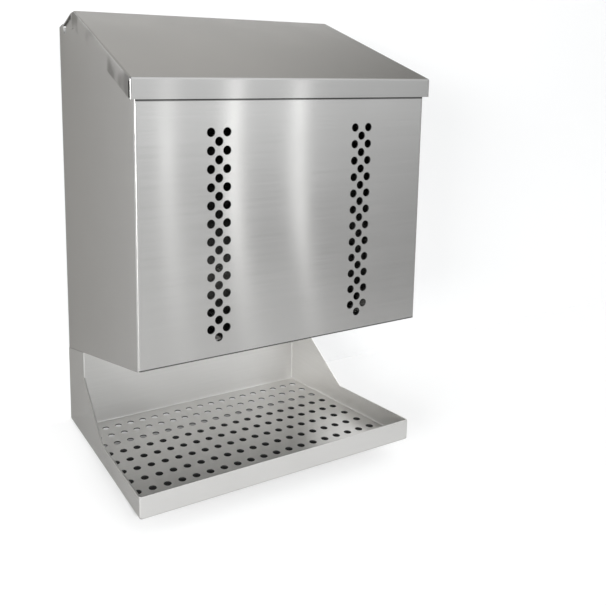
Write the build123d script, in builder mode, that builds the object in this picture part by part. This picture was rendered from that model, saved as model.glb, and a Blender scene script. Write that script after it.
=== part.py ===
"""Wall-hung stainless glove dispenser: a two-compartment bin with a hinged lid above a perforated catch tray.

X runs across the front, Y runs back to the wall and Z runs up. The origin is the middle of the four wall
screw holes, on the wall plane, so the whole dispenser lies at Y <= 0.
"""
import os
from math import cos, radians, sin, tan

from build123d import *

os.makedirs("parts", exist_ok=True)

# Sheet metal, shared by every folded panel
SHEET = 1.5                 # stainless sheet
FOLD = 3.5                  # outside radius of the folds across the width
EDGE_FOLD = 3.0             # outside radius of the lid's folds along its sides
SEAT_GAP = 0.3              # where one panel rests on or meets another without a weld

# Bin
BIN_WIDTH = 400
BIN_DEPTH = 300             # front face to wall
FRONT_BOTTOM = -160         # level of the front panel's bottom edge
BOTTOM_SLOPE = 16.4         # the bin's bottom drops towards the wall
WALL_GAP = 37               # behind the back panel
TOP_RETURN = 12             # the front panel's top edge, folded inwards

# Sight holes in the front, two strips of staggered rows
SIGHT_HOLE = 10.2           # across corners
SIGHT_HOLE_SIDES = 10       # the punched holes are many-sided, close to round
SIGHT_PITCH = 20.4
SIGHT_ROWS = 12
SIGHT_STRIP_OFFSET = 100    # strip centre from the middle of the front
SIGHT_TOP = 258             # top row above the front panel's bottom edge

# Wall fixing flanges, folded inwards at the rear of each side
WALL_FLANGE = 24
SCREW_HOLE = 7
SCREW_INSET = 14            # screw holes in from the outside of the sides
SCREW_SPAN_Z = 430
REAR_TOP = 404              # top of the sides at the wall, above the front panel's bottom edge
REAR_TOP_RISE = 2.5         # the sides' top strip climbs this much towards the hinge
REAR_TOP_LENGTH = 22

# Hinge
HINGE_HEIGHT = 398.4        # above the front panel's bottom edge
KNUCKLE_R = 3.0
KNUCKLE_COUNT = 5
KNUCKLE_GAP = 0.3
PIN_R = 1.5
PIN_CLEARANCE = 0.05
LEAF = 1.2
LEAF_WIDTH = 20
LEAF_END_GAP = 1.0
HINGE_NOTCH = 6             # room cut in the sides round the lid's rear edge

# Lid
LID_SIDE_GAP = 4.5          # between the lid's side flanges and the bin
LID_FRONT_GAP = 2.5         # between the lid's front lip and the bin
LID_FALL = 14               # the rear strip falls to the hinge
LID_FALL_RUN = 38
LID_FLAT_RUN = 28
LID_SLOPE = 25.2            # the long front slope
LID_LIP = 22.5              # height of the front lip and side flanges
LID_REAR_OVERHANG = 1       # past the hinge line
LID_REAR_OVERLAP = 2.3      # the lid's bare rear edges stand this far outside the bin
LID_FLANGE_END = 92         # the side flanges stop this far from the wall
LID_RELIEF_RUN = 20         # length of the slanted relief behind them
LID_CORNER_SLIT = 1.8       # open front corners

# Dispensing floor, a shallow pan in the bottom of the bin
PAN_FLANGE = 14
MOUTH_LENGTH = 150
MOUTH_WIDTH = 70
MOUTH_RIM = 4               # depth of the turned-down rim

# Centre divider
DIVIDER_FLANGE = 14
DIVIDER_LID_GAP = 14

# Catch tray
TRAY_DROP = 176.4           # tray's front bottom edge below the bin's front bottom edge
TRAY_SETBACK = 2
TRAY_SLOPE = 6.2
TRAY_LIP = 28.5
TRAY_FOLD = 3.0             # outside radius of the tray's folds
KNEE_BACK = 138             # cheek knee, measured back from the bin's front face
KNEE_DROP = 161             # and below the bin's front bottom edge
NECK_BACK = 218
NECK_DROP = 103
TRAY_LAP = 22               # the tray's back laps the back panel
TRAY_HOLE = 10.2            # across corners
TRAY_HOLE_SIDES = 8
TRAY_PITCH_X = 20.25
TRAY_PITCH_Y = 26.4
TRAY_COLUMNS = 19
TRAY_ROWS = 9
TRAY_FIRST_ROW = 28.5       # front row from the bin's front face

# Places worked out from the sizes above
front_y = -BIN_DEPTH
half_width = BIN_WIDTH / 2
inner_half = half_width - SHEET
back_rear_y = -WALL_GAP
back_front_y = back_rear_y - SHEET
leaf_offset = KNUCKLE_R + KNUCKLE_GAP
hinge_y = back_rear_y + leaf_offset
hinge_z = FRONT_BOTTOM + HINGE_HEIGHT
hinge_length = 2 * (inner_half - LEAF_END_GAP)
knuckle_pitch = hinge_length / KNUCKLE_COUNT

lid_front_y = front_y - LID_FRONT_GAP - SHEET
lid_half = half_width + LID_SIDE_GAP + SHEET
lid_rear_y = hinge_y + LID_REAR_OVERHANG
fall_y = hinge_y - LID_FALL_RUN
ridge_y = fall_y - LID_FLAT_RUN
fall_angle = radians(LID_FALL)
slope_angle = radians(LID_SLOPE)
lid_top_z = hinge_z + (leaf_offset + SHEET) / cos(fall_angle) + LID_FALL_RUN * tan(fall_angle)

bottom_rise = tan(radians(BOTTOM_SLOPE))
tray_fall = tan(radians(TRAY_SLOPE))
tray_front_y = front_y + TRAY_SETBACK
tray_bottom_z = FRONT_BOTTOM - TRAY_DROP


def bin_bottom(y):
    """Level of the bin's sloping bottom edge at a place between front and wall."""
    return FRONT_BOTTOM - (y - front_y) * bottom_rise


def tray_bottom(y):
    """Level of the tray's underside."""
    return tray_bottom_z - (y - tray_front_y) * tray_fall


def lid_path(inset, start_y, end_y):
    """Side view of the lid's top, front to rear, moved in from its outside face by an inset."""
    flat_z = lid_top_z - inset
    ridge = ridge_y + inset * tan(slope_angle / 2)
    fall = fall_y - inset * tan(fall_angle / 2)
    start = (start_y, flat_z - (ridge - start_y) * tan(slope_angle))
    end = (end_y, flat_z - (end_y - fall) * tan(fall_angle))
    return [start, (ridge, flat_z), (fall, flat_z), end]


def lowered(points, drop):
    """The same points, lower by a drop."""
    return [(y, z - drop) for y, z in points]


# Cabinet wrap: front, sides and wall flanges folded from one sheet
under_lid = lid_path(SHEET + SEAT_GAP, front_y, hinge_y - HINGE_NOTCH)
front_top = under_lid[0][1]
notch_z = hinge_z - HINGE_NOTCH
rear_top_z = FRONT_BOTTOM + REAR_TOP
wrap_height = lid_top_z - bin_bottom(0)
return_half = half_width - 3 * FOLD

with BuildPart() as cabinet_wrap:
    with BuildSketch(Plane.XY.offset(bin_bottom(0))):
        with BuildLine():
            FilletPolyline(
                (-half_width + WALL_FLANGE, 0),
                (-half_width, 0),
                (-half_width, front_y),
                (half_width, front_y),
                (half_width, 0),
                (half_width - WALL_FLANGE, 0),
                radius=FOLD,
            )
            offset(amount=SHEET, side=Side.LEFT)
        make_face()
    extrude(amount=wrap_height)
    with BuildSketch(Plane.YZ):
        with BuildLine():
            Polyline(
                (front_y, FRONT_BOTTOM),
                *under_lid,
                (hinge_y - HINGE_NOTCH, notch_z),
                (hinge_y + HINGE_NOTCH, notch_z),
                (-REAR_TOP_LENGTH, rear_top_z + REAR_TOP_RISE),
                (0, rear_top_z),
                (0, bin_bottom(0)),
                close=True,
            )
        make_face()
    extrude(amount=BIN_WIDTH, both=True, mode=Mode.INTERSECT)
    # the front panel's top edge turns in under the lid
    with BuildSketch(Plane.YZ):
        with Locations((front_y, front_top)):
            Rectangle(4 * SHEET, 2 * TOP_RETURN)
    extrude(amount=return_half, both=True, mode=Mode.SUBTRACT)
    with BuildSketch(Plane.YZ):
        with BuildLine():
            FilletPolyline(
                (front_y, front_top - TOP_RETURN),
                (front_y, front_top),
                (front_y + TOP_RETURN, front_top),
                radius=FOLD,
            )
            offset(amount=SHEET, side=Side.RIGHT)
        make_face()
    extrude(amount=return_half, both=True)
    with BuildSketch(Plane.XZ.offset(BIN_DEPTH)):
        for side in (-1, 1):
            with Locations((side * SIGHT_STRIP_OFFSET, FRONT_BOTTOM + SIGHT_TOP)):
                with Locations((0, -(SIGHT_ROWS - 1) * SIGHT_PITCH / 2)):
                    with GridLocations(SIGHT_PITCH, SIGHT_PITCH, 2, SIGHT_ROWS):
                        RegularPolygon(SIGHT_HOLE / 2, SIGHT_HOLE_SIDES)
                with Locations((0, -SIGHT_ROWS * SIGHT_PITCH / 2)):
                    with GridLocations(SIGHT_PITCH, SIGHT_PITCH, 1, SIGHT_ROWS):
                        RegularPolygon(SIGHT_HOLE / 2, SIGHT_HOLE_SIDES)
    extrude(amount=-SHEET, mode=Mode.SUBTRACT)
    with BuildSketch(Plane.XZ):
        with GridLocations(BIN_WIDTH - 2 * SCREW_INSET, SCREW_SPAN_Z, 2, 2):
            Circle(SCREW_HOLE / 2)
    extrude(amount=SHEET, mode=Mode.SUBTRACT)
cabinet_wrap.part.label = "cabinet_wrap"
export_step(cabinet_wrap.part, "parts/cabinet_wrap.step")


# Back panel: closes the bin, with stiffening flanges turned back against the sides
back_bottom_z = bin_bottom(back_front_y)
lap_top_z = bin_bottom(back_rear_y) + TRAY_LAP
flange_top_z = hinge_z - LEAF_WIDTH - FOLD

with BuildPart() as back_panel:
    with BuildSketch(Plane.XY.offset(back_bottom_z)):
        with BuildLine():
            FilletPolyline(
                (-inner_half, back_front_y + PAN_FLANGE),
                (-inner_half, back_front_y),
                (inner_half, back_front_y),
                (inner_half, back_front_y + PAN_FLANGE),
                radius=FOLD,
            )
            offset(amount=SHEET, side=Side.LEFT)
        make_face()
    extrude(amount=flange_top_z - back_bottom_z)
    # behind the hinge leaf the panel runs on flat, as far as the hinge line
    with BuildSketch(Plane.XZ.offset(-back_front_y)):
        with Locations((0, flange_top_z)):
            Rectangle(hinge_length, hinge_z - flange_top_z, align=(Align.CENTER, Align.MIN))
    extrude(amount=-SHEET)
    # the flanges stop short of the tray's lap
    with BuildSketch(Plane.YZ):
        with Locations((back_rear_y, back_bottom_z)):
            Rectangle(PAN_FLANGE, lap_top_z - back_bottom_z + FOLD, align=Align.MIN)
    extrude(amount=BIN_WIDTH, both=True, mode=Mode.SUBTRACT)
back_panel.part.label = "back_panel"
export_step(back_panel.part, "parts/back_panel.step")


# Dispensing floor: a pan along the bin's sloping bottom, with a rimmed mouth under each compartment
pan_front_y = front_y + SHEET
pan_room_front_y = pan_front_y + SHEET
pan_room_rear_y = back_front_y - SHEET
pan_corners = [(pan_front_y, bin_bottom(pan_front_y)), (back_front_y, bin_bottom(back_front_y))]
pan_room = [(pan_room_front_y, bin_bottom(pan_room_front_y)), (pan_room_rear_y, bin_bottom(pan_room_rear_y))]
pan_thickness = SHEET / cos(radians(BOTTOM_SLOPE))
pan_middle_y = (pan_front_y + back_front_y) / 2
pan_plane = Plane(
    origin=(0, pan_middle_y, bin_bottom(pan_middle_y)),
    x_dir=(1, 0, 0),
    z_dir=(0, sin(radians(BOTTOM_SLOPE)), cos(radians(BOTTOM_SLOPE))),
)

with BuildPart() as dispensing_floor:
    with BuildSketch(Plane.YZ):
        Polygon(*pan_corners, *lowered(reversed(pan_corners), -PAN_FLANGE), align=None)
    extrude(amount=inner_half, both=True)
    fillet(dispensing_floor.edges().filter_by(Axis.Z).group_by(Axis.Y)[0], FOLD)
    with BuildSketch(Plane.YZ):
        Polygon(*lowered(pan_room, -pan_thickness), *lowered(reversed(pan_room), -2 * PAN_FLANGE), align=None)
    extrude(amount=inner_half - SHEET, both=True, mode=Mode.SUBTRACT)
    with BuildSketch(pan_plane):
        with GridLocations(2 * SIGHT_STRIP_OFFSET, 1, 2, 1):
            SlotOverall(MOUTH_LENGTH + 2 * SHEET, MOUTH_WIDTH + 2 * SHEET)
    extrude(amount=-MOUTH_RIM)
    with BuildSketch(pan_plane):
        with GridLocations(2 * SIGHT_STRIP_OFFSET, 1, 2, 1):
            SlotOverall(MOUTH_LENGTH, MOUTH_WIDTH)
    extrude(amount=MOUTH_RIM, both=True, mode=Mode.SUBTRACT)
dispensing_floor.part.label = "dispensing_floor"
export_step(dispensing_floor.part, "parts/dispensing_floor.step")


# Centre divider: a web standing in the pan, with its front, bottom and rear edges folded to one side
divider_front_y = pan_room_front_y
divider_rear_y = pan_room_rear_y
divider_top = lid_path(SHEET + DIVIDER_LID_GAP, divider_front_y, divider_rear_y)
room_top = lid_path(0, divider_front_y + SHEET, divider_rear_y - SHEET)


def pan_surface(y):
    """Level of the dispensing floor's upper face."""
    return bin_bottom(y) + pan_thickness


with BuildPart() as centre_divider:
    with BuildSketch(Plane.YZ.offset(-SHEET / 2)):
        Polygon(
            (divider_rear_y, pan_surface(divider_rear_y)),
            (divider_front_y, pan_surface(divider_front_y)),
            *divider_top,
            align=None,
        )
    extrude(amount=DIVIDER_FLANGE)
    with BuildSketch(Plane.YZ.offset(SHEET / 2)):
        Polygon(
            (divider_rear_y - SHEET, pan_surface(divider_rear_y - SHEET) + pan_thickness),
            (divider_front_y + SHEET, pan_surface(divider_front_y + SHEET) + pan_thickness),
            *room_top,
            align=None,
        )
    extrude(amount=DIVIDER_FLANGE, mode=Mode.SUBTRACT)
centre_divider.part.label = "centre_divider"
export_step(centre_divider.part, "parts/centre_divider.step")


# Catch tray: floor, lip, cheeks, back and wall flanges folded from one sheet and welded at the corners
tray_back_y = back_rear_y
tray_behind_y = tray_back_y + SHEET
tray_lip_z = tray_bottom_z + TRAY_LIP
neck_y = front_y + NECK_BACK
seam_drop = SEAT_GAP / cos(radians(BOTTOM_SLOPE))
tray_thickness = SHEET / cos(radians(TRAY_SLOPE))
tray_first_row_y = front_y + TRAY_FIRST_ROW
tray_row_step = TRAY_PITCH_Y * cos(radians(TRAY_SLOPE))
tray_middle_y = tray_first_row_y + tray_row_step * (TRAY_ROWS - 1) / 2
tray_plane = Plane(
    origin=(0, tray_middle_y, tray_bottom(tray_middle_y)),
    x_dir=(1, 0, 0),
    z_dir=(0, sin(radians(TRAY_SLOPE)), cos(radians(TRAY_SLOPE))),
)

with BuildPart() as catch_tray:
    with BuildSketch(Plane.YZ):
        with BuildLine():
            Polyline(
                (tray_front_y, tray_bottom_z),
                (tray_front_y, tray_lip_z),
                (front_y + KNEE_BACK, FRONT_BOTTOM - KNEE_DROP),
                (neck_y, FRONT_BOTTOM - NECK_DROP),
                (neck_y, bin_bottom(neck_y) - seam_drop),
                (0, bin_bottom(0) - seam_drop),
                (0, tray_bottom(0)),
                close=True,
            )
        outline = make_face()
        front_corners = outline.vertices().sort_by(Axis.X)[0:2]
        fillet(front_corners.sort_by(Axis.Y)[0], TRAY_FOLD)
    extrude(amount=half_width, both=True)
    tray_edges = catch_tray.faces().sort_by(Axis.Y)[0].edges() + catch_tray.faces().sort_by(Axis.Z)[0].edges()
    fillet(tray_edges.filter_by(lambda edge: abs(edge.center().X) > inner_half), TRAY_FOLD)
    # hollow out the basin between lip, cheeks and back
    with BuildSketch(Plane.YZ):
        with BuildLine():
            Polyline(
                (tray_front_y + SHEET, tray_bottom(tray_front_y + SHEET) + tray_thickness),
                (tray_front_y + SHEET, FRONT_BOTTOM),
                (tray_back_y, FRONT_BOTTOM),
                (tray_back_y, tray_bottom(tray_back_y) + tray_thickness),
                close=True,
            )
        basin = make_face()
        fillet(basin.vertices().filter_by(lambda corner: corner.Y < tray_lip_z), TRAY_FOLD - SHEET)
    extrude(amount=inner_half, both=True, mode=Mode.SUBTRACT)
    basin_edges = catch_tray.faces().filter_by(lambda face: face.normal_at().dot(tray_plane.z_dir) > 0.999)
    basin_edges = basin_edges.sort_by(SortBy.AREA)[-1].edges()
    fillet(basin_edges.filter_by(lambda edge: abs(edge.center().X) > inner_half - SHEET), TRAY_FOLD - SHEET)
    # the bay behind the tray's back is open above, below and between the wall flanges
    with BuildSketch(Plane.YZ):
        with BuildLine():
            Polyline(
                (tray_behind_y, FRONT_BOTTOM),
                (tray_behind_y, tray_bottom(tray_behind_y) - SHEET),
                (-SHEET, tray_bottom(0) - SHEET),
                (-SHEET, FRONT_BOTTOM),
                close=True,
            )
        make_face()
    extrude(amount=inner_half, both=True, mode=Mode.SUBTRACT)
    with BuildSketch(Plane.XY.offset(tray_bottom(0) - SHEET)):
        with Locations((0, -SHEET / 2)):
            Rectangle(2 * (half_width - WALL_FLANGE), 2 * SHEET)
    extrude(amount=TRAY_DROP, mode=Mode.SUBTRACT)
    # the back runs up behind the back panel, and everything is punched while flat
    with BuildSketch(Plane.XZ.offset(-tray_back_y)):
        with Locations((0, lap_top_z)):
            Rectangle(2 * (inner_half - TRAY_FOLD), 2 * TRAY_LAP, align=(Align.CENTER, Align.MAX))
    extrude(amount=-SHEET)
    with BuildSketch(tray_plane):
        with GridLocations(TRAY_PITCH_X, TRAY_PITCH_Y, TRAY_COLUMNS, TRAY_ROWS):
            RegularPolygon(TRAY_HOLE / 2, TRAY_HOLE_SIDES)
    extrude(amount=SHEET, mode=Mode.SUBTRACT)
catch_tray.part.label = "catch_tray"
export_step(catch_tray.part, "parts/catch_tray.step")


# Lid: one folded sheet, hollow below, with open slits at its front corners
slit_y = lid_front_y + SHEET
slit_top_z = lid_path(0, lid_front_y, lid_rear_y)[0][1] - FOLD
lid_rear_half = half_width + LID_REAR_OVERLAP
relief_side = lid_half + SHEET
relief = [
    (relief_side, -LID_FLANGE_END),
    (lid_half, -LID_FLANGE_END),
    (lid_rear_half, LID_RELIEF_RUN - LID_FLANGE_END),
    (lid_rear_half, 0),
    (relief_side, 0),
]


def lid_block(inset, depth, rear_y):
    """Block under the lid's top, with rounded folds, moved in from the lid's outside face by an inset."""
    top_line = lid_path(inset, lid_front_y + inset, rear_y)
    block_half = lid_half - inset
    with BuildPart() as block:
        with BuildSketch(Plane.YZ):
            profile = Polygon(*top_line, *lowered(reversed(top_line), depth), align=None)
            fillet(profile.vertices().sort_by(Axis.X)[0:2].sort_by(Axis.Y)[-1], FOLD - inset)
        extrude(amount=block_half, both=True)
        top_faces = block.faces().filter_by(lambda face: face.normal_at().Z > 0.3)
        side_edges = top_faces.edges().filter_by(lambda edge: abs(edge.center().X) > block_half - SHEET)
        fillet(side_edges, EDGE_FOLD - inset)
    return block.part


with BuildPart() as lid:
    add(lid_block(0, LID_LIP, lid_rear_y))
    add(lid_block(SHEET, 2 * LID_LIP, lid_rear_y + FOLD), mode=Mode.SUBTRACT)
    with BuildSketch(Plane.YZ):
        with Locations((slit_y, slit_top_z)):
            Rectangle(LID_CORNER_SLIT, 2 * LID_LIP, align=(Align.MIN, Align.MAX))
    extrude(amount=lid_half, both=True, mode=Mode.SUBTRACT)
    # the side flanges stop short of the hinge, and the top's bare rear edges stand closer to the bin
    with BuildSketch(Plane.XY.offset(lid_top_z)):
        Polygon(*relief, align=None)
        mirror(about=Plane.YZ)
    extrude(amount=4 * LID_LIP, both=True, mode=Mode.SUBTRACT)
lid.part.label = "lid"
export_step(lid.part, "parts/lid.step")


# Piano hinge: two leaves alike, each rolled round the pin at every other knuckle, spot-welded in place
def hinge_leaf(plane, first_knuckle):
    """One leaf, drawn on a plane across the pin whose X runs out along the leaf and Y faces its panel."""
    own_knuckles = range(first_knuckle, KNUCKLE_COUNT, 2)
    with BuildPart() as leaf:
        with BuildSketch(plane):
            with Locations((KNUCKLE_R + KNUCKLE_GAP, leaf_offset)):
                Rectangle(LEAF_WIDTH - leaf_offset, LEAF, align=(Align.MIN, Align.MAX))
        extrude(amount=hinge_length / 2, both=True)
        for knuckle in own_knuckles:
            middle = (knuckle + 0.5) * knuckle_pitch - hinge_length / 2
            with BuildSketch(plane.offset(middle)):
                Circle(KNUCKLE_R)
                with Locations((0, leaf_offset)):
                    Rectangle(LEAF_WIDTH / 2, LEAF, align=(Align.MIN, Align.MAX))
                Circle(PIN_R + PIN_CLEARANCE, mode=Mode.SUBTRACT)
            extrude(amount=(knuckle_pitch - KNUCKLE_GAP) / 2, both=True)
    return leaf.part


body_leaf_plane = Plane(origin=(0, hinge_y, hinge_z), x_dir=(0, 0, -1), z_dir=(-1, 0, 0))
lid_leaf_plane = Plane(
    origin=(0, hinge_y, hinge_z),
    x_dir=(0, -cos(fall_angle), sin(fall_angle)),
    z_dir=(-1, 0, 0),
)

hinge_body_leaf = hinge_leaf(body_leaf_plane, 0)
hinge_body_leaf.label = "hinge_body_leaf"
export_step(hinge_body_leaf, "parts/hinge_body_leaf.step")

hinge_lid_leaf = hinge_leaf(lid_leaf_plane, 1)
hinge_lid_leaf.label = "hinge_lid_leaf"
export_step(hinge_lid_leaf, "parts/hinge_lid_leaf.step")

with BuildPart() as hinge_pin:
    with BuildSketch(body_leaf_plane):
        Circle(PIN_R)
    extrude(amount=hinge_length / 2, both=True)
hinge_pin.part.label = "hinge_pin"
export_step(hinge_pin.part, "parts/hinge_pin.step")
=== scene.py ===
"""Looks of a wall-hung stainless glove dispenser: punched and brushed sheet, hinge, studio and camera."""
from functools import partial
from math import pi, radians

import bmesh
import bpy
from mathutils import Euler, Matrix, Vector


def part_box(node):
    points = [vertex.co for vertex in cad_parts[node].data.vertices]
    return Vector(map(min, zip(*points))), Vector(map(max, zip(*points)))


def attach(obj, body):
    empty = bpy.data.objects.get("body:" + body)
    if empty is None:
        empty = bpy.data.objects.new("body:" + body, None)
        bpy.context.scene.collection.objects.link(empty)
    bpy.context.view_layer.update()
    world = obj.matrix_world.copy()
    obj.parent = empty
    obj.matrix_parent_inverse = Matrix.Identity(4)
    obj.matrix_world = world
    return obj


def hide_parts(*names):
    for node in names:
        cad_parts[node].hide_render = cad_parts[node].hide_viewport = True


bl_info = {
    "name": "Glove Dispenser",
    "version": (1, 0, 0),
    "blender": (4, 5, 0),
    "location": "3D View > Sidebar > Dispenser",
    "description": "Dresses the folded stainless glove dispenser and lights it",
    "category": "Object",
}

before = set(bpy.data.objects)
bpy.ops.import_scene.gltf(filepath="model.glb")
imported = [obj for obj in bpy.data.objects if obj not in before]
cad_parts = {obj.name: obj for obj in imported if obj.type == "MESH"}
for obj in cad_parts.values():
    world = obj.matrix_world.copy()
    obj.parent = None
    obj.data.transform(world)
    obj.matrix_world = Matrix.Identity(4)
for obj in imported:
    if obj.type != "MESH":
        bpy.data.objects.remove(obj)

CABINET = "cabinet"
LID = "lid"
BRUSH_UV = "brushing"

BIN_LOW, BIN_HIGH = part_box("cabinet_wrap")
TRAY_LOW, TRAY_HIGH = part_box("catch_tray")
LID_LOW, LID_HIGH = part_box("lid")
FRONT_Y = BIN_LOW.y
FRONT_BOTTOM_Z = -0.16
TRAY_FRONT_Z = -0.3364


class SteelSettings(bpy.types.PropertyGroup):
    """Colour and finish of the brushed sheet."""

    tone: bpy.props.FloatVectorProperty(
        name="Steel Tone",
        description="Colour of the bare brushed steel",
        subtype="COLOR",
        size=3,
        min=0.0,
        max=1.0,
        default=(0.405, 0.402, 0.395),
    )
    shade: bpy.props.FloatVectorProperty(
        name="Grain Shade",
        description="Colour at the bottom of the brush marks",
        subtype="COLOR",
        size=3,
        min=0.0,
        max=1.0,
        default=(0.385, 0.382, 0.375),
    )
    edge_tint: bpy.props.FloatVectorProperty(
        name="Grazing Tint",
        description="How much the sheet brightens where it is seen edge-on",
        subtype="COLOR",
        size=3,
        min=0.0,
        max=1.0,
        default=(0.475, 0.465, 0.45),
    )
    # Painted shade: the lid's copy of the steel tone is darkened, standing in for the darker light on the lid.
    lid_shade_gain: bpy.props.FloatProperty(
        name="Lid Shade Gain", description="How much lighter the lid's sheet is", default=0.86, min=0.0, max=2.0
    )
    lid_tint: bpy.props.FloatVectorProperty(
        name="Lid Grazing Tint",
        description="How much the lid brightens where it is seen edge-on",
        subtype="COLOR",
        size=3,
        min=0.0,
        max=1.0,
        default=(0.97, 0.96, 0.94),
    )
    # Painted light: the tray's copy of the steel tone is lifted, standing in for the brighter light on the tray.
    tray_light_gain: bpy.props.FloatProperty(
        name="Tray Light Gain", description="How much lighter the tray's sheet is", default=1.5, min=0.0, max=2.0
    )
    tray_tint: bpy.props.FloatVectorProperty(
        name="Tray Grazing Tint",
        description="The same for the tray",
        subtype="COLOR",
        size=3,
        min=0.0,
        max=1.0,
        default=(0.34, 0.335, 0.325),
    )
    # The inner side's rougher mill finish is real; its lifted tone is painted light, standing in for the light inside
    # the tray.
    inner_light_gain: bpy.props.FloatProperty(
        name="Inner Light Gain", description="How much lighter the unbrushed inner side is", default=2.0, min=0.0, max=2.4
    )
    # Painted reflection: noise patches darken the lid's side flanges, standing in for dark reflections there.
    patch_depth: bpy.props.FloatProperty(
        name="Patch Depth",
        description="How dark the painted reflections on the lid's side flanges are",
        default=0.45,
        min=0.0,
        max=1.0,
    )
    # Painted shade: dark lines on the front, under the lid's lip and along its bottom edge, standing in for the shade
    # of the gaps there.
    seam_shade_depth: bpy.props.FloatProperty(
        name="Seam Shade Depth", description="How dark the painted shade along the front's edges is", default=0.85, min=0.0, max=1.0
    )
    roughness: bpy.props.FloatProperty(
        name="Roughness", description="Mean roughness of the sheet", default=0.22, min=0.05, max=1.0
    )
    stretch: bpy.props.FloatProperty(
        name="Brush Stretch", description="How far highlights spread across the grain", default=1.0, min=0.0, max=1.0
    )
    grain_width: bpy.props.FloatProperty(
        name="Grain Width", description="Width of a brush mark", default=0.0007, min=0.0001, unit="LENGTH"
    )
    grain_length: bpy.props.FloatProperty(
        name="Grain Length", description="Length of a brush mark", default=0.07, min=0.001, unit="LENGTH"
    )
    wave_depth: bpy.props.FloatProperty(
        name="Sheet Waviness", description="Depth of the slow waves in a panel", default=0.0008, min=0.0, unit="LENGTH"
    )


class PunchSettings(bpy.types.PropertyGroup):
    """Round punched holes of the front and the tray."""

    sides: bpy.props.IntProperty(name="Hole Sides", description="Facets round each hole", default=24, min=8, max=64)
    sight_diameter: bpy.props.FloatProperty(
        name="Sight Hole", description="Diameter of the sight holes", default=0.01035, min=0.001, unit="LENGTH"
    )
    sight_pitch: bpy.props.FloatProperty(
        name="Sight Pitch", description="Spacing of the sight holes", default=0.0204, min=0.001, unit="LENGTH"
    )
    sight_rows: bpy.props.IntProperty(name="Sight Rows", description="Paired rows in a strip", default=12, min=1)
    strip_offset: bpy.props.FloatProperty(
        name="Strip Offset", description="Strip centre from the middle", default=0.1, min=0.0, unit="LENGTH"
    )
    sight_top: bpy.props.FloatProperty(
        name="Sight Top", description="Height of the top row", default=0.098, unit="LENGTH"
    )
    tray_diameter: bpy.props.FloatProperty(
        name="Tray Hole", description="Diameter of the tray holes", default=0.01035, min=0.001, unit="LENGTH"
    )
    tray_pitch_x: bpy.props.FloatProperty(
        name="Tray Column Pitch", description="Spacing of the tray columns", default=0.02025, min=0.001, unit="LENGTH"
    )
    tray_pitch_y: bpy.props.FloatProperty(
        name="Tray Row Pitch", description="Spacing of the tray rows", default=0.0264, min=0.001, unit="LENGTH"
    )
    tray_columns: bpy.props.IntProperty(name="Tray Columns", description="Holes across", default=19, min=1)
    tray_rows: bpy.props.IntProperty(name="Tray Rows", description="Holes front to back", default=9, min=1)
    tray_slope: bpy.props.FloatProperty(
        name="Tray Slope", description="Fall of the tray towards the wall", default=radians(6.2), subtype="ANGLE"
    )
    tray_first_row: bpy.props.FloatProperty(
        name="Tray First Row", description="Front row from the bin's front", default=0.0285, unit="LENGTH"
    )


class StudioSettings(bpy.types.PropertyGroup):
    """Pale room round the dispenser."""

    room_tone: bpy.props.FloatVectorProperty(
        name="Room Tone",
        description="Colour of the wall and the floor",
        subtype="COLOR",
        size=3,
        min=0.0,
        max=1.0,
        default=(0.60, 0.60, 0.60),
    )
    wall_glow: bpy.props.FloatProperty(
        name="Wall Glow", description="Even white of the wall, seen directly or in the steel", default=0.35, min=0.0
    )
    floor_glow: bpy.props.FloatProperty(
        name="Floor Glow", description="Even white of the floor, seen directly or in the steel", default=0.44, min=0.0
    )
    room_level: bpy.props.FloatProperty(
        name="Room Level", description="Brightness of the room away from its windows", default=0.44, min=0.0
    )
    rear_level: bpy.props.FloatProperty(
        name="Rear Level", description="Extra brightness of the room over the wall", default=0.50, min=0.0
    )
    window_level: bpy.props.FloatProperty(
        name="Window Level", description="Extra brightness of the broad window in front", default=1.45, min=0.0
    )
    far_side_level: bpy.props.FloatProperty(
        name="Far Side Level", description="Share of the light left at the room's right end", default=0.46, min=0.0
    )
    key_power: bpy.props.FloatProperty(name="Key Power", description="Side light", default=29.0, unit="POWER")
    strip_power: bpy.props.FloatProperty(name="Strip Power", description="Each strip light", default=0.21, unit="POWER")
    edge_power: bpy.props.FloatProperty(
        name="Edge Power", description="Tall strip light for the left folds", default=0.5, unit="POWER"
    )


def socket_value(tree_node, name, value):
    """Sets the value of one named input."""
    tree_node.inputs[name].default_value = value


def add_math(tree, operation, first, second, third=None):
    """A math node in a tree, fed by numbers or by other nodes."""
    made = tree.nodes.new("ShaderNodeMath")
    made.operation = operation
    for index, value in enumerate((first, second, third)):
        if value is None:
            continue
        if isinstance(value, (int, float)):
            made.inputs[index].default_value = value
        else:
            tree.links.new(value, made.inputs[index])
    return made.outputs["Value"]


def add_spread(tree, value, low, high, start, end):
    """A soft step of a value from one level to another."""
    step = tree.nodes.new("ShaderNodeMapRange")
    step.interpolation_type = "SMOOTHSTEP"
    tree.links.new(value, step.inputs["Value"])
    for label, number in (("From Min", low), ("From Max", high), ("To Min", start), ("To Max", end)):
        socket_value(step, label, number)
    return step.outputs["Result"]


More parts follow.
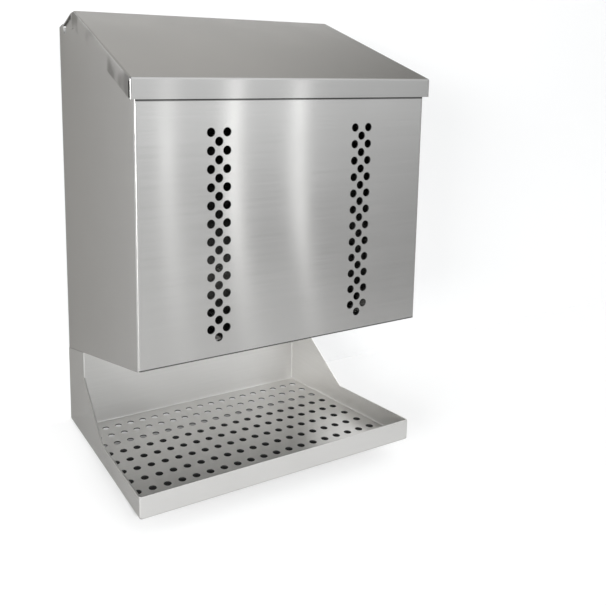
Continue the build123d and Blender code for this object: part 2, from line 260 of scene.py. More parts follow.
def brushed_grain_group():
    """Shader group: brush marks along the UV's second axis, with slow waves in the sheet."""
    name = "brushed_grain"
    if name in bpy.data.node_groups:
        return bpy.data.node_groups[name]
    group = bpy.data.node_groups.new(name, "ShaderNodeTree")
    interface = group.interface
    interface.new_socket("Surface", in_out="INPUT", socket_type="NodeSocketVector")
    interface.new_socket("Place", in_out="INPUT", socket_type="NodeSocketVector")
    for label, value in (
        ("Grain Width", 0.0007),
        ("Grain Length", 0.07),
        ("Wave Depth", 0.0006),
        ("Roughness", 0.3),
    ):
        interface.new_socket(label, in_out="INPUT", socket_type="NodeSocketFloat").default_value = value
    for label, kind in (
        ("Marks", "NodeSocketFloat"),
        ("Roughness", "NodeSocketFloat"),
        ("Height", "NodeSocketFloat"),
    ):
        interface.new_socket(label, in_out="OUTPUT", socket_type=kind)
    nodes, links = group.nodes, group.links
    entry = nodes.new("NodeGroupInput")
    leave = nodes.new("NodeGroupOutput")

    def scaled(source, width, length):
        """The surface place measured in marks: widths along the first axis, lengths along the second."""
        size = nodes.new("ShaderNodeCombineXYZ")
        links.new(width, size.inputs["X"])
        links.new(length, size.inputs["Y"])
        size.inputs["Z"].default_value = 1.0
        ratio = nodes.new("ShaderNodeVectorMath")
        ratio.operation = "DIVIDE"
        links.new(source, ratio.inputs[0])
        links.new(size.outputs["Vector"], ratio.inputs[1])
        return ratio.outputs["Vector"]

    def noise(vector, scale, detail, roughness):
        texture = nodes.new("ShaderNodeTexNoise")
        socket_value(texture, "Scale", scale)
        socket_value(texture, "Detail", detail)
        socket_value(texture, "Roughness", roughness)
        links.new(vector, texture.inputs["Vector"])
        return texture.outputs["Fac"]

    math_node = partial(add_math, group)
    marks_place = scaled(entry.outputs["Surface"], entry.outputs["Grain Width"], entry.outputs["Grain Length"])
    fine = noise(marks_place, 1.0, 2.0, 0.6)
    coarse = noise(marks_place, 0.16, 2.0, 0.5)
    marks = math_node("MULTIPLY_ADD", fine, 0.6, math_node("MULTIPLY", coarse, 0.4))
    links.new(marks, leave.inputs["Marks"])

    smudge = noise(entry.outputs["Place"], 9.0, 3.0, 0.55)
    rough_step = math_node("MULTIPLY_ADD", math_node("SUBTRACT", smudge, 0.5), 0.12, entry.outputs["Roughness"])
    rough = math_node("MULTIPLY_ADD", math_node("SUBTRACT", marks, 0.5), 0.10, rough_step)
    links.new(rough, leave.inputs["Roughness"])

    wave_scale = nodes.new("ShaderNodeVectorMath")
    wave_scale.operation = "MULTIPLY"
    wave_scale.inputs[1].default_value = (1.0, 0.6, 0.22)
    links.new(entry.outputs["Place"], wave_scale.inputs[0])
    waves = noise(wave_scale.outputs["Vector"], 7.0, 0.0, 0.5)
    deep = math_node("MULTIPLY", waves, entry.outputs["Wave Depth"])
    scratch = math_node("MULTIPLY", fine, 0.0000012)
    links.new(math_node("ADD", deep, scratch), leave.inputs["Height"])
    return group


def shade_group():
    """Shader group: a painted shade value that darkens soft patches of a sheet, as painted dark reflections, and paints
    two shade lines across its front.

    One painted shade line runs under the lid's lip and one along the bottom edge.
    """
    name = "sheet_shade"
    if name in bpy.data.node_groups:
        return bpy.data.node_groups[name]
    group = bpy.data.node_groups.new(name, "ShaderNodeTree")
    interface = group.interface
    interface.new_socket("Place", in_out="INPUT", socket_type="NodeSocketVector")
    for label, value in (
        ("Patch Scale", 16.0),
        ("Patch Depth", 0.0),
        ("Seam Shade Depth", 0.0),
        ("Seam Height", 0.0),
        ("Edge Height", 0.0),
        ("Front", 0.0),
    ):
        interface.new_socket(label, in_out="INPUT", socket_type="NodeSocketFloat").default_value = value
    interface.new_socket("Shade", in_out="OUTPUT", socket_type="NodeSocketFloat")
    nodes, links = group.nodes, group.links
    entry = nodes.new("NodeGroupInput")
    leave = nodes.new("NodeGroupOutput")

    math_node = partial(add_math, group)
    spread = partial(add_spread, group)
    texture = nodes.new("ShaderNodeTexNoise")
    socket_value(texture, "Detail", 2.0)
    socket_value(texture, "Roughness", 0.5)
    links.new(entry.outputs["Place"], texture.inputs["Vector"])
    links.new(entry.outputs["Patch Scale"], texture.inputs["Scale"])
    # Noise patches: painted dark reflections.
    patches = math_node("MULTIPLY", spread(texture.outputs["Fac"], 0.44, 0.60, 0.0, 1.0), entry.outputs["Patch Depth"])

    split = nodes.new("ShaderNodeSeparateXYZ")
    links.new(entry.outputs["Place"], split.inputs["Vector"])
    # Painted shade lines: one just under the lid's lip, one along the front's bottom edge.
    below_seam = math_node("SUBTRACT", entry.outputs["Seam Height"], split.outputs["Z"])
    above_edge = math_node("SUBTRACT", split.outputs["Z"], entry.outputs["Edge Height"])
    lip_line_top = spread(below_seam, -0.0030, -0.0015, 0.0, 1.0)
    lip_line_bottom = spread(below_seam, 0.0010, 0.0027, 1.0, 0.0)
    lip_line = math_node("MULTIPLY", lip_line_bottom, lip_line_top)
    bottom_line = spread(above_edge, 0.0008, 0.0018, 1.0, 0.0)
    seam_shade = math_node("MAXIMUM", lip_line, bottom_line)
    on_front = math_node("LESS_THAN", split.outputs["Y"], entry.outputs["Front"])
    seam_shade = math_node("MULTIPLY", math_node("MULTIPLY", seam_shade, on_front), entry.outputs["Seam Shade Depth"])
    unshaded_share = math_node("MULTIPLY", math_node("SUBTRACT", 1.0, seam_shade), math_node("SUBTRACT", 1.0, patches))
    links.new(unshaded_share, leave.inputs["Shade"])
    return group


def brushed_steel(
    name,
    tone_gain=1.0,
    roughness_gain=1.0,
    wave_gain=1.0,
    stretch_gain=1.0,
    tint=None,
    from_uv=True,
    patch_depth=0.0,
    seam_shade_depth=0.0,
):
    """Brushed stainless sheet; the tone and finish come from the settings and shift per piece, where a piece's tone
    gain paints light or shade into its colour and the patch and seam depths add painted reflections and painted shade
    lines.
    """
    steel = bpy.context.scene.dispenser_steel
    material = bpy.data.materials.new(name)
    material.use_nodes = True
    nodes, links = material.node_tree.nodes, material.node_tree.links
    principled = nodes["Principled BSDF"]
    socket_value(principled, "Metallic", 1.0)
    socket_value(principled, "Anisotropic", steel.stretch * stretch_gain if from_uv else 0.0)
    socket_value(principled, "Specular Tint", (*(tint or steel.edge_tint), 1.0))
    place = nodes.new("ShaderNodeTexCoord")
    grain = nodes.new("ShaderNodeGroup")
    grain.node_tree = brushed_grain_group()
    socket_value(grain, "Grain Width", steel.grain_width)
    socket_value(grain, "Grain Length", steel.grain_length)
    socket_value(grain, "Wave Depth", steel.wave_depth * wave_gain)
    socket_value(grain, "Roughness", steel.roughness * roughness_gain)
    links.new(place.outputs["Object"], grain.inputs["Place"])
    if from_uv:
        flat = nodes.new("ShaderNodeUVMap")
        flat.uv_map = BRUSH_UV
        links.new(flat.outputs["UV"], grain.inputs["Surface"])
        tangent = nodes.new("ShaderNodeTangent")
        tangent.direction_type = "UV_MAP"
        tangent.uv_map = BRUSH_UV
        links.new(tangent.outputs["Tangent"], principled.inputs["Tangent"])
    else:
        links.new(place.outputs["Object"], grain.inputs["Surface"])
    colour = nodes.new("ShaderNodeMix")
    colour.data_type = "RGBA"
    colour.inputs["A"].default_value = (*[channel * tone_gain for channel in steel.shade], 1.0)
    colour.inputs["B"].default_value = (*[channel * tone_gain for channel in steel.tone], 1.0)
    spread = nodes.new("ShaderNodeMapRange")
    spread.inputs["From Min"].default_value = 0.35
    spread.inputs["From Max"].default_value = 0.65
    links.new(grain.outputs["Marks"], spread.inputs["Value"])
    links.new(spread.outputs["Result"], colour.inputs["Factor"])
    shade = nodes.new("ShaderNodeGroup")
    shade.node_tree = shade_group()
    socket_value(shade, "Patch Depth", patch_depth)
    socket_value(shade, "Seam Shade Depth", seam_shade_depth)
    socket_value(shade, "Seam Height", LID_LOW.z)
    socket_value(shade, "Edge Height", FRONT_BOTTOM_Z)
    socket_value(shade, "Front", FRONT_Y + 0.0008)
    links.new(place.outputs["Object"], shade.inputs["Place"])
    shaded = nodes.new("ShaderNodeVectorMath")
    shaded.operation = "SCALE"
    links.new(colour.outputs["Result"], shaded.inputs[0])
    links.new(shade.outputs["Shade"], shaded.inputs["Scale"])
    links.new(shaded.outputs["Vector"], principled.inputs["Base Color"])
    links.new(grain.outputs["Roughness"], principled.inputs["Roughness"])
    bump = nodes.new("ShaderNodeBump")
    bump.inputs["Strength"].default_value = 1.0
    bump.inputs["Distance"].default_value = 1.0
    links.new(grain.outputs["Height"], bump.inputs["Height"])
    links.new(bump.outputs["Normal"], principled.inputs["Normal"])
    return material


def punching_tree():
    """Geometry Nodes: punches a grid of round holes, with in-between holes where the strip is staggered."""
    name = "punched_holes"
    if name in bpy.data.node_groups:
        return bpy.data.node_groups[name]
    tree = bpy.data.node_groups.new(name, "GeometryNodeTree")
    interface = tree.interface
    interface.new_socket("Geometry", in_out="INPUT", socket_type="NodeSocketGeometry")
    for label, kind, value in (
        ("Columns", "NodeSocketInt", 2),
        ("Rows", "NodeSocketInt", 12),
        ("Column Pitch", "NodeSocketFloat", 0.0204),
        ("Row Pitch", "NodeSocketFloat", 0.0204),
        ("Staggered", "NodeSocketBool", False),
        ("Hole Diameter", "NodeSocketFloat", 0.0095),
        ("Hole Sides", "NodeSocketInt", 24),
        ("Punch Depth", "NodeSocketFloat", 0.006),
        ("Centre", "NodeSocketVector", (0.0, 0.0, 0.0)),
        ("Tilt", "NodeSocketFloat", 0.0),
    ):
        interface.new_socket(label, in_out="INPUT", socket_type=kind).default_value = value
    interface.new_socket("Sheet", in_out="INPUT", socket_type="NodeSocketMaterial")
    interface.new_socket("Geometry", in_out="OUTPUT", socket_type="NodeSocketGeometry")
    nodes, links = tree.nodes, tree.links
    entry = nodes.new("NodeGroupInput")
    leave = nodes.new("NodeGroupOutput")

    math_node = partial(add_math, tree)

    def hole_grid(columns, rows, shift_rows):
        """Punches standing on a grid of points."""
        grid = nodes.new("GeometryNodeMeshGrid")
        links.new(columns, grid.inputs["Vertices X"])
        links.new(rows, grid.inputs["Vertices Y"])
        width = math_node("MULTIPLY", math_node("SUBTRACT", columns, 1.0), entry.outputs["Column Pitch"])
        height = math_node("MULTIPLY", math_node("SUBTRACT", rows, 1.0), entry.outputs["Row Pitch"])
        links.new(width, grid.inputs["Size X"])
        links.new(height, grid.inputs["Size Y"])
        shift = nodes.new("ShaderNodeCombineXYZ")
        links.new(math_node("MULTIPLY", entry.outputs["Row Pitch"], shift_rows), shift.inputs["Y"])
        moved = nodes.new("GeometryNodeTransform")
        links.new(grid.outputs["Mesh"], moved.inputs["Geometry"])
        links.new(shift.outputs["Vector"], moved.inputs["Translation"])
        return moved.outputs["Geometry"]

    paired = hole_grid(entry.outputs["Columns"], entry.outputs["Rows"], 0.0)
    between = hole_grid(math_node("SUBTRACT", entry.outputs["Columns"], 1.0), entry.outputs["Rows"], -0.5)
    choose = nodes.new("GeometryNodeSwitch")
    choose.input_type = "GEOMETRY"
    links.new(entry.outputs["Staggered"], choose.inputs["Switch"])
    links.new(between, choose.inputs["True"])
    places = nodes.new("GeometryNodeJoinGeometry")
    links.new(paired, places.inputs["Geometry"])
    links.new(choose.outputs["Output"], places.inputs["Geometry"])

    punch = nodes.new("GeometryNodeMeshCylinder")
    links.new(entry.outputs["Hole Sides"], punch.inputs["Vertices"])
    links.new(math_node("DIVIDE", entry.outputs["Hole Diameter"], 2.0), punch.inputs["Radius"])
    links.new(entry.outputs["Punch Depth"], punch.inputs["Depth"])
    stand = nodes.new("GeometryNodeInstanceOnPoints")
    links.new(places.outputs["Geometry"], stand.inputs["Points"])
    links.new(punch.outputs["Mesh"], stand.inputs["Instance"])
    tilt = nodes.new("ShaderNodeCombineXYZ")
    links.new(entry.outputs["Tilt"], tilt.inputs["X"])
    placed = nodes.new("GeometryNodeTransform")
    links.new(stand.outputs["Instances"], placed.inputs["Geometry"])
    links.new(entry.outputs["Centre"], placed.inputs["Translation"])
    links.new(tilt.outputs["Vector"], placed.inputs["Rotation"])
    solid = nodes.new("GeometryNodeRealizeInstances")
    links.new(placed.outputs["Geometry"], solid.inputs["Geometry"])
    cut = nodes.new("GeometryNodeMeshBoolean")
    cut.operation = "DIFFERENCE"
    cut.solver = "EXACT"
    links.new(entry.outputs["Geometry"], cut.inputs["Mesh 1"])
    links.new(solid.outputs["Geometry"], cut.inputs["Mesh 2"])
    whole = nodes.new("GeometryNodeRealizeInstances")
    links.new(cut.outputs["Mesh"], whole.inputs["Geometry"])
    finish = nodes.new("GeometryNodeSetMaterial")
    links.new(whole.outputs["Geometry"], finish.inputs["Geometry"])
    links.new(entry.outputs["Sheet"], finish.inputs["Material"])
    links.new(finish.outputs["Geometry"], leave.inputs["Geometry"])
    return tree


def set_tree_inputs(modifier, values):
    """Gives a Geometry Nodes modifier its inputs by their names."""
    for item in modifier.node_group.interface.items_tree:
        if item.item_type == "SOCKET" and item.in_out == "INPUT" and item.name in values:
            modifier[item.identifier] = values[item.name]


def merged_copy(node_name, piece_name):
    """A welded copy of a CAD node's mesh, ready to be worked on."""
    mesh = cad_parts[node_name].data.copy()
    mesh.name = piece_name
    mesh.materials.clear()
    shell = bmesh.new()
    shell.from_mesh(mesh)
    bmesh.ops.remove_doubles(shell, verts=shell.verts, dist=0.000002)
    bmesh.ops.dissolve_limit(
        shell, angle_limit=radians(0.5), use_dissolve_boundaries=False, verts=shell.verts, edges=shell.edges
    )
    shell.to_mesh(mesh)
    shell.free()
    piece = bpy.data.objects.new(piece_name, mesh)
    bpy.context.scene.collection.objects.link(piece)
    return piece


def baked(piece):
    """Replaces the piece's mesh by its evaluated one and drops the modifiers."""
    bpy.context.view_layer.update()
    evaluated = piece.evaluated_get(bpy.context.evaluated_depsgraph_get())
    mesh = bpy.data.meshes.new_from_object(evaluated)
    piece.modifiers.clear()
    piece.data = mesh
    return piece


def brush_map(piece):
    """UV map in metres: the first axis runs across the grain and the second along it, flat on every face."""
    mesh = piece.data
    layer = mesh.uv_layers.get(BRUSH_UV) or mesh.uv_layers.new(name=BRUSH_UV)
    mesh.uv_layers.active = layer
    for face in mesh.polygons:
        normal = face.normal
        along = Vector((0.0, 1.0, 0.0)) if abs(normal.x) > 0.7 else Vector((1.0, 0.0, 0.0))
        across = normal.cross(along).normalized()
        along = across.cross(normal)
        for loop in face.loop_indices:
            place = mesh.vertices[mesh.loops[loop].vertex_index].co
            layer.data[loop].uv = (place.dot(across), place.dot(along))


def soften_folds(piece):
    """Smooth folds beside flat panels, with crisp cut edges."""
    mesh = piece.data
    mesh.shade_smooth()
    shell = bmesh.new()
    shell.from_mesh(mesh)
    for edge in shell.edges:
        edge.smooth = len(edge.link_faces) == 2 and edge.calc_face_angle(pi) < radians(32)
    shell.to_mesh(mesh)
    shell.free()
    weights = piece.modifiers.new("fold_shading", "WEIGHTED_NORMAL")
    weights.mode = "FACE_AREA"
    weights.weight = 80
    weights.keep_sharp = True
    baked(piece)


def dress(piece, material, body, node_name):
    """Finishes a sheet piece: brushing, fold shading, material, body and the node it stands for."""
    if not piece.data.polygons:
        raise RuntimeError(f"{piece.name} came out empty")
    piece.data.materials.clear()
    piece.data.materials.append(material)
    brush_map(piece)
    soften_folds(piece)
    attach(piece, body)
    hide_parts(node_name)


def finish_where(piece, material, chosen):
    """Gives another material to the faces that a test picks."""
    piece.data.materials.append(material)
    place = len(piece.data.materials) - 1
    for face in piece.data.polygons:
        if chosen(face):
            face.material_index = place


def looks_into(face, low, high):
    """Whether a face lies in a space and faces its middle."""
    within = all(low[axis] <= face.center[axis] <= high[axis] for axis in range(3))
    return within and face.normal.dot((low + high) / 2 - face.center) > 0.0


def is_hole_wall(face, across):
    """Whether a face is one facet of a punched hole's wall in a sheet that faces one way."""
    return face.area < 0.000004 and abs(face.normal.dot(across)) < 0.2


def hole_shade():
    """Painted shade: the wall of a punched hole, coloured near black and rough, standing in for the shade inside the
    hole.
    """
    material = bpy.data.materials.get("hole_shade") or bpy.data.materials.new("hole_shade")
    material.use_nodes = True
    principled = material.node_tree.nodes["Principled BSDF"]
    socket_value(principled, "Base Color", (0.03, 0.03, 0.03, 1.0))
    socket_value(principled, "Metallic", 0.0)
    socket_value(principled, "Roughness", 0.8)
    return material


def punch(piece, label, material, **values):
    """Adds one pass of the punching tree to a piece."""
    modifier = piece.modifiers.new(label, "NODES")
    modifier.node_group = punching_tree()
    set_tree_inputs(modifier, {**values, "Sheet": material})


class DISPENSER_OT_cabinet(bpy.types.Operator):
    """Make the folded cabinet wrap with its two strips of round sight holes"""

    bl_idname = "dispenser.cabinet"
    bl_label = "Cabinet Wrap"

    def execute(self, context):
        holes = context.scene.dispenser_punching
        finish = context.scene.dispenser_steel
        # The front carries the painted shade lines under the lid's lip and along its bottom edge.
        steel = brushed_steel("cabinet_steel", seam_shade_depth=finish.seam_shade_depth)
        piece = merged_copy("cabinet_wrap", "cabinet_sheet")
        strip_height = (holes.sight_rows - 1) * holes.sight_pitch
        for label, side in (("left_strip", -1), ("right_strip", 1)):
            punch(
                piece,
                label,
                steel,
                **{
                    "Columns": 2,
                    "Rows": holes.sight_rows,
                    "Column Pitch": holes.sight_pitch,
                    "Row Pitch": holes.sight_pitch,
                    "Staggered": True,
                    "Hole Diameter": holes.sight_diameter,
                    "Hole Sides": holes.sides,
                    "Centre": (side * holes.strip_offset, FRONT_Y, holes.sight_top - strip_height / 2),
                    "Tilt": pi / 2,
                },
            )
        baked(piece)
        dress(piece, steel, CABINET, "cabinet_wrap")
        ahead = Vector((0.0, 1.0, 0.0))
        # Painted shade: the sight holes' walls are coloured near black.
        finish_where(piece, hole_shade(), lambda face: face.center.y < FRONT_Y + 0.0016 and is_hole_wall(face, ahead))
        return {"FINISHED"}


class DISPENSER_OT_tray(bpy.types.Operator):
    """Make the catch tray with its grid of round drain holes"""

    bl_idname = "dispenser.tray"
    bl_label = "Catch Tray"

    def execute(self, context):
        holes = context.scene.dispenser_punching
        finish = context.scene.dispenser_steel
        # Painted light: the tray's outer sheet is a lighter copy of the steel tone.
        steel = brushed_steel("tray_steel", tone_gain=finish.tray_light_gain, tint=finish.tray_tint)
        # The inside faces get a rougher mill finish and a much lighter copy of the tone; the lighter tone is painted
        # light.
        inner_lit_mill = brushed_steel("tray_inner_steel", tone_gain=finish.inner_light_gain, roughness_gain=1.6, stretch_gain=0.5)
        piece = merged_copy("catch_tray", "tray_sheet")
        tilt = Euler((-holes.tray_slope, 0.0, 0.0)).to_matrix()
        first = Vector((0.0, FRONT_Y + holes.tray_first_row, 0.0))
        front_bottom = Vector((0.0, TRAY_LOW.y, TRAY_FRONT_Z))
        fall = tilt @ Vector((0.0, 1.0, 0.0))
        start = front_bottom + fall * ((first.y - front_bottom.y) / fall.y)
        centre = start + fall * (holes.tray_rows - 1) * holes.tray_pitch_y / 2
        punch(
            piece,
            "drain_holes",
            steel,
            **{
                "Columns": holes.tray_columns,
                "Rows": holes.tray_rows,
                "Column Pitch": holes.tray_pitch_x,
                "Row Pitch": holes.tray_pitch_y,
                "Staggered": False,
                "Hole Diameter": holes.tray_diameter,
                "Hole Sides": holes.sides,
                "Centre": tuple(centre),
                "Tilt": -holes.tray_slope,
            },
        )
        baked(piece)
        dress(piece, steel, CABINET, "catch_tray")
        low = Vector((TRAY_LOW.x + 0.0005, TRAY_LOW.y + 0.0006, TRAY_LOW.z + 0.0012))
        high = Vector((TRAY_HIGH.x - 0.0005, -0.0365, 0.0))
        finish_where(piece, inner_lit_mill, lambda face: looks_into(face, low, high))
        # The back upstand's inner face is matt, and made lighter by the same painted light.
        matt = brushed_steel("tray_back_steel", tone_gain=finish.inner_light_gain, roughness_gain=2.6, stretch_gain=0.3)
        finish_where(piece, matt, lambda face: looks_into(face, low, high) and face.normal.y < -0.9)
        flat = tilt @ Vector((0.0, 0.0, 1.0))
        # Painted shade: the drain holes' walls are coloured near black.
        finish_where(piece, hole_shade(), lambda face: is_hole_wall(face, flat))
        return {"FINISHED"}


class DISPENSER_OT_lid(bpy.types.Operator):
    """Make the folded lid"""

    bl_idname = "dispenser.lid"
    bl_label = "Lid"

    def execute(self, context):
        piece = merged_copy("lid", "lid_sheet")
        finish = context.scene.dispenser_steel
        # The lid's steel is a darker copy of the same tone: painted shade.
        dress(piece, brushed_steel("lid_steel", tone_gain=finish.lid_shade_gain, tint=finish.lid_tint), LID, "lid")
        # The side flanges carry noise patches: painted dark reflections.
        flange = brushed_steel("lid_flange_steel", patch_depth=finish.patch_depth, wave_gain=2.0)
        finish_where(piece, flange, lambda face: abs(face.normal.x) > 0.8)
        return {"FINISHED"}


class DISPENSER_OT_inner_sheets(bpy.types.Operator):
    """Make the back panel, the dispensing floor and the centre divider"""

    bl_idname = "dispenser.inner_sheets"
    bl_label = "Inner Sheets"

    def execute(self, context):
        for node_name, piece_name in (
            ("back_panel", "back_sheet"),
            ("dispensing_floor", "mouth_sheet"),
            ("centre_divider", "divider_sheet"),
        ):
            piece = merged_copy(node_name, piece_name)
            dress(piece, brushed_steel(f"{piece_name}_steel", roughness_gain=1.15), CABINET, node_name)
        return {"FINISHED"}


class DISPENSER_OT_hinge(bpy.types.Operator):
    """Finish the hinge leaves and the pin"""

    bl_idname = "dispenser.hinge"
    bl_label = "Hinge"

    def execute(self, context):
        leaf = brushed_steel("hinge_leaf_steel", tone_gain=0.9, roughness_gain=1.1, wave_gain=0.0, from_uv=False)
        pin = brushed_steel("hinge_pin_steel", tone_gain=0.8, roughness_gain=0.8, wave_gain=0.0, from_uv=False)
        for node_name, material in (
            ("hinge_body_leaf", leaf),
            ("hinge_lid_leaf", leaf),
            ("hinge_pin", pin),
        ):
            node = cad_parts[node_name]
            if not node.material_slots:
                raise RuntimeError(f"{node_name} has no material slot")
            for place in node.material_slots:
                place.material = material
        return {"FINISHED"}


def room_material(name, tone, glow, ground=False):
    """Matt room surface with an even glow for direct sight and reflections, clear from behind.

    The wall is brightest low down. The ground is greyer ahead on the right, and carries a painted shade, dark under
    the tray and just past its right side.
    """
    material = bpy.data.materials.new(name)
    material.use_nodes = True
    nodes, links = material.node_tree.nodes, material.node_tree.links
    nodes.clear()

    math_node = partial(add_math, material.node_tree)
    spread = partial(add_spread, material.node_tree)
    leave = nodes.new("ShaderNodeOutputMaterial")
    matt = nodes.new("ShaderNodeBsdfDiffuse")
    matt.inputs["Color"].default_value = (*tone, 1.0)
    rays = nodes.new("ShaderNodeLightPath")
    seen = math_node("MAXIMUM", rays.outputs["Is Camera Ray"], rays.outputs["Is Glossy Ray"])
    seen = math_node("MAXIMUM", seen, rays.outputs["Is Transmission Ray"])
    strength = math_node("MULTIPLY", seen, glow)
    place = nodes.new("ShaderNodeTexCoord")
    split = nodes.new("ShaderNodeSeparateXYZ")
    links.new(place.outputs["Object"], split.inputs["Vector"])
    if not ground:
        strength = math_node("MULTIPLY", strength, spread(split.outputs["Z"], -0.3, 0.25, 1.08, 1.0))
    else:
        along, ahead = split.outputs["X"], split.outputs["Y"]
        far_side = math_node("MULTIPLY", spread(ahead, -0.70, -0.56, 0.45, 0.0), spread(along, 0.1, 0.9, 0.0, 1.0))
        level = math_node("SUBTRACT", 1.0, far_side)
        # Painted shade: the ground's colour and glow go dark under the tray and just past its right side, darkest
        # towards the front.
        under = 1.0
        for value, low, high in ((along, TRAY_LOW.x + 0.010, TRAY_HIGH.x + 0.050), (ahead, FRONT_Y + 0.045, 0.0)):
            for start, end in ((low, low + 0.014), (high, high - 0.014)):
                under = math_node("MULTIPLY", spread(value, start, end, 0.0, 1.0), under)
        under_tray_shade = spread(ahead, -0.12, -0.055, 0.02, 0.9)
        level = math_node("MULTIPLY_ADD", under, math_node("SUBTRACT", under_tray_shade, level), level)
        strength = math_node("MULTIPLY", strength, level)
        shade = nodes.new("ShaderNodeMix")
        shade.data_type = "RGBA"
        shade.inputs["A"].default_value = (0.0, 0.0, 0.0, 1.0)
        shade.inputs["B"].default_value = (*tone, 1.0)
        links.new(level, shade.inputs["Factor"])
        links.new(shade.outputs["Result"], matt.inputs["Color"])
    light = nodes.new("ShaderNodeEmission")
    links.new(strength, light.inputs["Strength"])
    both = nodes.new("ShaderNodeAddShader")
    links.new(matt.outputs["BSDF"], both.inputs[0])
    links.new(light.outputs["Emission"], both.inputs[1])
    facing = nodes.new("ShaderNodeNewGeometry")
    clear = nodes.new("ShaderNodeBsdfTransparent")
    side = nodes.new("ShaderNodeMixShader")
    links.new(facing.outputs["Backfacing"], side.inputs["Fac"])
    links.new(both.outputs["Shader"], side.inputs[1])
    links.new(clear.outputs["BSDF"], side.inputs[2])
    links.new(side.outputs["Shader"], leave.inputs["Surface"])
    return material


def studio_world(studio):
    """Pale room: a cool window in front, a warm glow over the wall, and a darker right end."""
    world = bpy.data.worlds.new("studio_world")
    world.use_nodes = True
    nodes, links = world.node_tree.nodes, world.node_tree.links
    background = nodes["Background"]
    direction = nodes.new("ShaderNodeTexCoord").outputs["Generated"]

    math_node = partial(add_math, world.node_tree)
    spread = partial(add_spread, world.node_tree)

    def lobe(towards, low, high, level):
        """Extra light from round one direction."""
        facing = nodes.new("ShaderNodeVectorMath")
        facing.operation = "DOT_PRODUCT"
        facing.inputs[1].default_value = towards
        links.new(direction, facing.inputs[0])
        return spread(facing.outputs["Value"], low, high, 0.0, level)

    window = lobe((0.525, -0.740, 0.420), 0.30, 0.95, studio.window_level)
    rear = lobe((0.05, 0.76, 0.65), 0.65, 0.95, studio.rear_level)
    level = math_node("ADD", math_node("ADD", window, rear), studio.room_level)
    split = nodes.new("ShaderNodeSeparateXYZ")
    links.new(direction, split.inputs["Vector"])
    far_side = spread(split.outputs["X"], 0.50, 0.95, 1.0, studio.far_side_level)
    links.new(math_node("MULTIPLY", level, far_side), background.inputs["Strength"])
    warmth = nodes.new("ShaderNodeMix")
    warmth.data_type = "RGBA"
    warmth.inputs["A"].default_value = (1.0, 0.985, 0.955, 1.0)
    warmth.inputs["B"].default_value = (0.975, 0.99, 1.0, 1.0)
    links.new(spread(split.outputs["Y"], -0.5, 0.2, 1.0, 0.0), warmth.inputs["Factor"])
    links.new(warmth.outputs["Result"], background.inputs["Color"])
    return world


def room_plane(name, corners, material):
    """One flat face of the room."""
    mesh = bpy.data.meshes.new(name)
    mesh.from_pydata(corners, [], [tuple(range(len(corners)))])
    mesh.materials.append(material)
    plane = bpy.data.objects.new(name, mesh)
    bpy.context.scene.collection.objects.link(plane)
    return plane


def soft_lamp(name, place, target, width, height, power, colour=(1.0, 1.0, 1.0)):
    """A rectangular lamp facing a point."""
    data = bpy.data.lights.new(name, "AREA")
    data.shape = "RECTANGLE"
    data.size = width
    data.size_y = height
    data.energy = power
    data.color = colour
    lamp = bpy.data.objects.new(name, data)
    lamp.location = place
    lamp.rotation_euler = (Vector(target) - Vector(place)).to_track_quat("-Z", "Y").to_euler()
    bpy.context.scene.collection.objects.link(lamp)
    return lamp


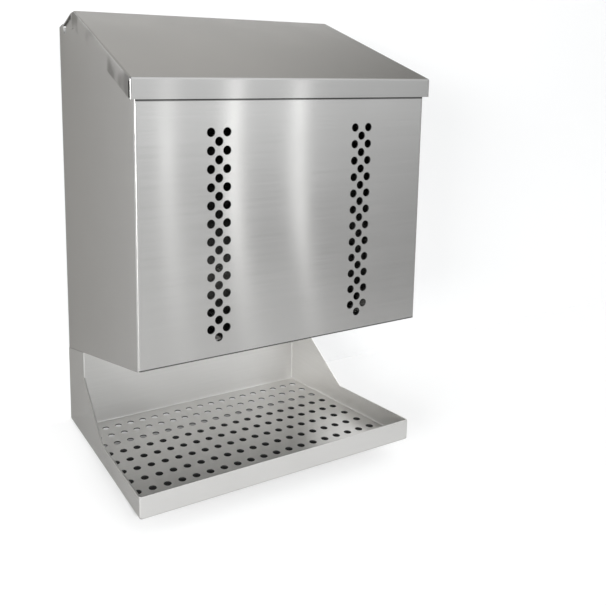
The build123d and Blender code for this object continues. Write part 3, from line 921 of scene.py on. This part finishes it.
class DISPENSER_OT_studio(bpy.types.Operator):
    """Set up the pale room, the soft lamps, the world and the camera"""

    bl_idname = "dispenser.studio"
    bl_label = "Studio"

    def execute(self, context):
        scene = context.scene
        studio = scene.dispenser_studio
        wall = room_material("room_wall", studio.room_tone, studio.wall_glow)
        ground = room_material("room_floor", studio.room_tone, studio.floor_glow, ground=True)
        floor_z = TRAY_LOW.z - 0.0005
        room_plane(
            "wall_behind",
            [(-4.0, 0.001, floor_z), (6.0, 0.001, floor_z), (6.0, 0.001, 0.37), (-4.0, 0.001, 0.37)],
            wall,
        )
        room_plane(
            "pale_floor",
            [(-6.0, -6.0, floor_z), (6.0, -6.0, floor_z), (6.0, 6.0, floor_z), (-6.0, 6.0, floor_z)],
            ground,
        )
        soft_lamp("key_lamp", (-1.70, -1.30, 0.30), (0.0, -0.15, -0.05), 0.65, 0.50, studio.key_power)
        for label, across, share in (
            ("strip_left", 0.289, 0.45),
            ("strip_middle", 0.528, 1.0),
            ("strip_right", 0.76, 1.0),
        ):
            power = studio.strip_power * share
            soft_lamp(label, (across, -1.3, -0.05), (across, 0.0, -0.05), 0.045, 0.62, power)
        soft_lamp("edge_lamp", (-0.60, -2.30, 0.0), (-0.2, -0.3, 0.0), 0.30, 1.8, studio.edge_power)
        scene.world = studio_world(studio)
        camera_data = bpy.data.cameras.new("front_camera")
        camera_data.sensor_width = 36.0
        camera_data.lens = 34.488
        camera_data.shift_x = 0.25248
        camera_data.shift_y = -0.20627
        camera = bpy.data.objects.new("front_camera", camera_data)
        camera.location = (-0.41694, -0.85933, 0.12690)
        camera.rotation_euler = Euler((radians(82.9715), radians(0.7573), radians(-22.7782)))
        scene.collection.objects.link(camera)
        scene.camera = camera
        scene.view_settings.view_transform = "Standard"
        return {"FINISHED"}


class DISPENSER_PT_sidebar(bpy.types.Panel):
    """Buttons and settings of the glove dispenser"""

    bl_label = "Glove Dispenser"
    bl_idname = "DISPENSER_PT_sidebar"
    bl_space_type = "VIEW_3D"
    bl_region_type = "UI"
    bl_category = "Dispenser"

    def draw(self, context):
        layout = self.layout
        for operator in OPERATORS:
            layout.operator(operator.bl_idname)
        for settings in (
            context.scene.dispenser_steel,
            context.scene.dispenser_punching,
            context.scene.dispenser_studio,
        ):
            box = layout.box()
            for name in settings.__annotations__:
                box.prop(settings, name)


SETTINGS = (SteelSettings, PunchSettings, StudioSettings)
OPERATORS = (
    DISPENSER_OT_cabinet,
    DISPENSER_OT_tray,
    DISPENSER_OT_lid,
    DISPENSER_OT_inner_sheets,
    DISPENSER_OT_hinge,
    DISPENSER_OT_studio,
)
CLASSES = (*SETTINGS, *OPERATORS, DISPENSER_PT_sidebar)


def register():
    for item in CLASSES:
        bpy.utils.register_class(item)
    bpy.types.Scene.dispenser_steel = bpy.props.PointerProperty(type=SteelSettings)
    bpy.types.Scene.dispenser_punching = bpy.props.PointerProperty(type=PunchSettings)
    bpy.types.Scene.dispenser_studio = bpy.props.PointerProperty(type=StudioSettings)


def unregister():
    del bpy.types.Scene.dispenser_studio
    del bpy.types.Scene.dispenser_punching
    del bpy.types.Scene.dispenser_steel
    for item in reversed(CLASSES):
        bpy.utils.unregister_class(item)


def main():
    register()
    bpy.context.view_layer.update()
    bpy.ops.dispenser.cabinet()
    bpy.ops.dispenser.tray()
    bpy.ops.dispenser.lid()
    bpy.ops.dispenser.inner_sheets()
    bpy.ops.dispenser.hinge()
    bpy.ops.dispenser.studio()


if __name__ == "__main__":
    main()
